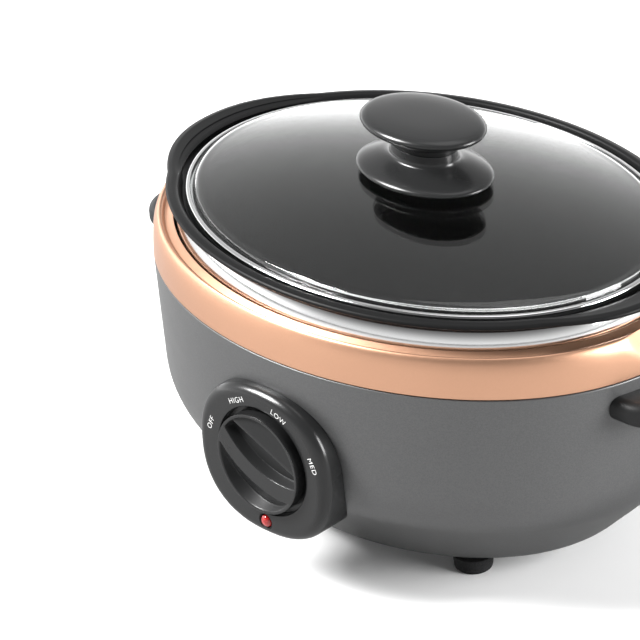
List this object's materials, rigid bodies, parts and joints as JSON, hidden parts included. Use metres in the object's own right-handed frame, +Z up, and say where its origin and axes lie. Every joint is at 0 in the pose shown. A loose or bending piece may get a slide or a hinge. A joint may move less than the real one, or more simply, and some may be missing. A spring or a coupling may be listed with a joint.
{
  "type": "slow cooker",
  "caption": "Oval slow cooker: tapered metal base with a round front dial, lift-out non-stick pot with end ears, domed glass lid with a two-tier knob, and side grips.",
  "frame": {"origin": "on the ground, under the centre of the cooker's bounding box", "axes": "+X along the oval to the right as seen from the dial side, +Y away from the dial, +Z up"},
  "size_m": [0.338, 0.2382, 0.2065],
  "materials": {
    "grey_paint": "satin, fine metallic grain",
    "rose_gold": "satin metallic, rose gold",
    "polished_steel": "polished",
    "plain_steel": "plain rolled sheet",
    "non_stick": "dark satin non-stick coating",
    "lid_glass": "clear tempered glass",
    "lamp_glass": "clear lamp glass",
    "grey_plastic": "satin moulded, dark grey",
    "black_plastic": "satin moulded, black",
    "red_lens": "glossy translucent red",
    "rubber": "matt",
    "mica": "matt heating foil board",
    "pale_plastic": "matt heat-resistant plastic",
    "red_insulation": "matt wire insulation",
    "blue_insulation": "matt wire insulation",
    "green_insulation": "matt wire insulation"
  },
  "bodies": {
    "base": {"casing": "grey_paint", "trim_band": "rose_gold", "rim_ring": "polished_steel", "liner": "plain_steel", "heater_band": "mica", "heater_strap": "plain_steel", "liner_bracket": "plain_steel", "centre_bolt": "plain_steel", "bottom_cover": "plain_steel", "bezel": "grey_plastic", "bezel_screw_left": "plain_steel", "bezel_screw_right": "plain_steel", "switch_body": "pale_plastic", "switch_nut": "plain_steel", "indicator_lens": "red_lens", "neon_lamp": "lamp_glass", "thermal_fuse": "pale_plastic", "fuse_clip": "plain_steel", "terminal_block": "pale_plastic", "cord_gland": "black_plastic", "gland_nut": "pale_plastic", "handle_left": "black_plastic", "handle_right": "black_plastic", "live_wire": "red_insulation", "fuse_wire": "red_insulation", "heater_wire": "red_insulation", "lamp_wire": "red_insulation", "neutral_wire": "blue_insulation", "earth_wire": "green_insulation", "foot_front_left": "rubber", "foot_screw_front_left": "plain_steel", "foot_front_right": "rubber", "foot_screw_front_right": "plain_steel", "foot_rear_left": "rubber", "foot_screw_rear_left": "plain_steel", "foot_rear_right": "rubber", "foot_screw_rear_right": "plain_steel", "handle_screw_left_front": "plain_steel", "handle_screw_left_rear": "plain_steel", "handle_screw_right_front": "plain_steel", "handle_screw_right_rear": "plain_steel"},
    "pot": {"cooking_pot": "non_stick"},
    "lid": {"lid_glass": "lid_glass", "lid_rim": "polished_steel", "knob_skirt": "grey_plastic", "knob_cap": "grey_plastic", "knob_gasket": "rubber", "lid_washer": "plain_steel", "lid_screw": "plain_steel"},
    "dial": {"dial_knob": "grey_plastic", "switch_shaft": "plain_steel"}
  },
  "joints": [
    {"name": "pot_lift", "type": "slide", "parent": "base", "child": "pot", "axis": [0, 0, 1], "range_m": [0, 0.16]},
    {"name": "lid_lift", "type": "slide", "parent": "pot", "child": "lid", "axis": [0, 0, 1], "range_m": [0, 0.12]},
    {"name": "dial_turn", "type": "hinge", "parent": "base", "child": "dial", "pos_m": [0, -0.11345, 0.0709], "axis": [0, 1, 0], "range_deg": [0, 150]}
  ]
}
